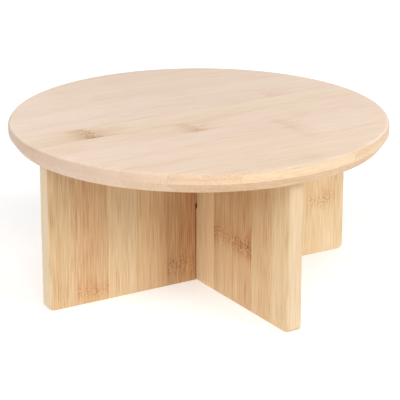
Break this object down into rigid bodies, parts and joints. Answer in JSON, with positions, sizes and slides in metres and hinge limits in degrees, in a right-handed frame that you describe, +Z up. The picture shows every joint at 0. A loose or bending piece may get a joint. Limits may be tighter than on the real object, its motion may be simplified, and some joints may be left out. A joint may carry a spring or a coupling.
{
  "type": "lazy susan turntable",
  "caption": "Round bamboo lazy susan turntable that spins on a ring ball bearing above a base of two crossed, slotted boards.",
  "frame": {"origin": "on the floor, under the point where the two leg boards cross, which is also on the turning axis", "axes": "+Z up along the turning axis; leg board A runs along X and leg board B along Y"},
  "size_m": [0.3, 0.3, 0.135],
  "materials": {
    "bamboo_top": "pale bleached bamboo, sanded, matt clear oil",
    "bamboo_board_a": "mixed natural and caramel bamboo strips, sanded, satin clear coat",
    "bamboo_board_b": "mixed natural and caramel bamboo strips, sanded, satin clear coat",
    "ring_aluminium": "turned aluminium, satin",
    "cage_nylon": "natural nylon",
    "ball_steel": "polished bearing steel",
    "screw_zinc": "bright zinc plate"
  },
  "bodies": {
    "base": {"leg_board_a": "bamboo_board_a", "leg_board_b": "bamboo_board_b", "bearing_outer_ring": "ring_aluminium", "base_screw_1": "screw_zinc", "base_screw_2": "screw_zinc", "base_screw_3": "screw_zinc", "base_screw_4": "screw_zinc"},
    "turntable": {"turntable_top": "bamboo_top", "bearing_inner_ring": "ring_aluminium", "top_screw_1": "screw_zinc", "top_screw_2": "screw_zinc", "top_screw_3": "screw_zinc", "top_screw_4": "screw_zinc"},
    "ball_set": {"ball_cage": "cage_nylon", "ball_01": "ball_steel", "ball_02": "ball_steel", "ball_03": "ball_steel", "ball_04": "ball_steel", "ball_05": "ball_steel", "ball_06": "ball_steel", "ball_07": "ball_steel", "ball_08": "ball_steel", "ball_09": "ball_steel", "ball_10": "ball_steel", "ball_11": "ball_steel", "ball_12": "ball_steel", "ball_13": "ball_steel", "ball_14": "ball_steel", "ball_15": "ball_steel", "ball_16": "ball_steel", "ball_17": "ball_steel", "ball_18": "ball_steel", "ball_19": "ball_steel", "ball_20": "ball_steel", "ball_21": "ball_steel", "ball_22": "ball_steel", "ball_23": "ball_steel", "ball_24": "ball_steel"}
  },
  "joints": [
    {"name": "top_spin", "type": "hinge", "parent": "base", "child": "turntable", "pos_m": [0, 0, 0.1223], "axis": [0, 0, 1], "continuous": true},
    {"name": "cage_spin", "type": "hinge", "parent": "base", "child": "ball_set", "pos_m": [0, 0, 0.1223], "axis": [0, 0, 1], "continuous": true}
  ],
  "couplings": [
    {"joint": "cage_spin", "follows": "top_spin", "ratio": 0.4783}
  ]
}
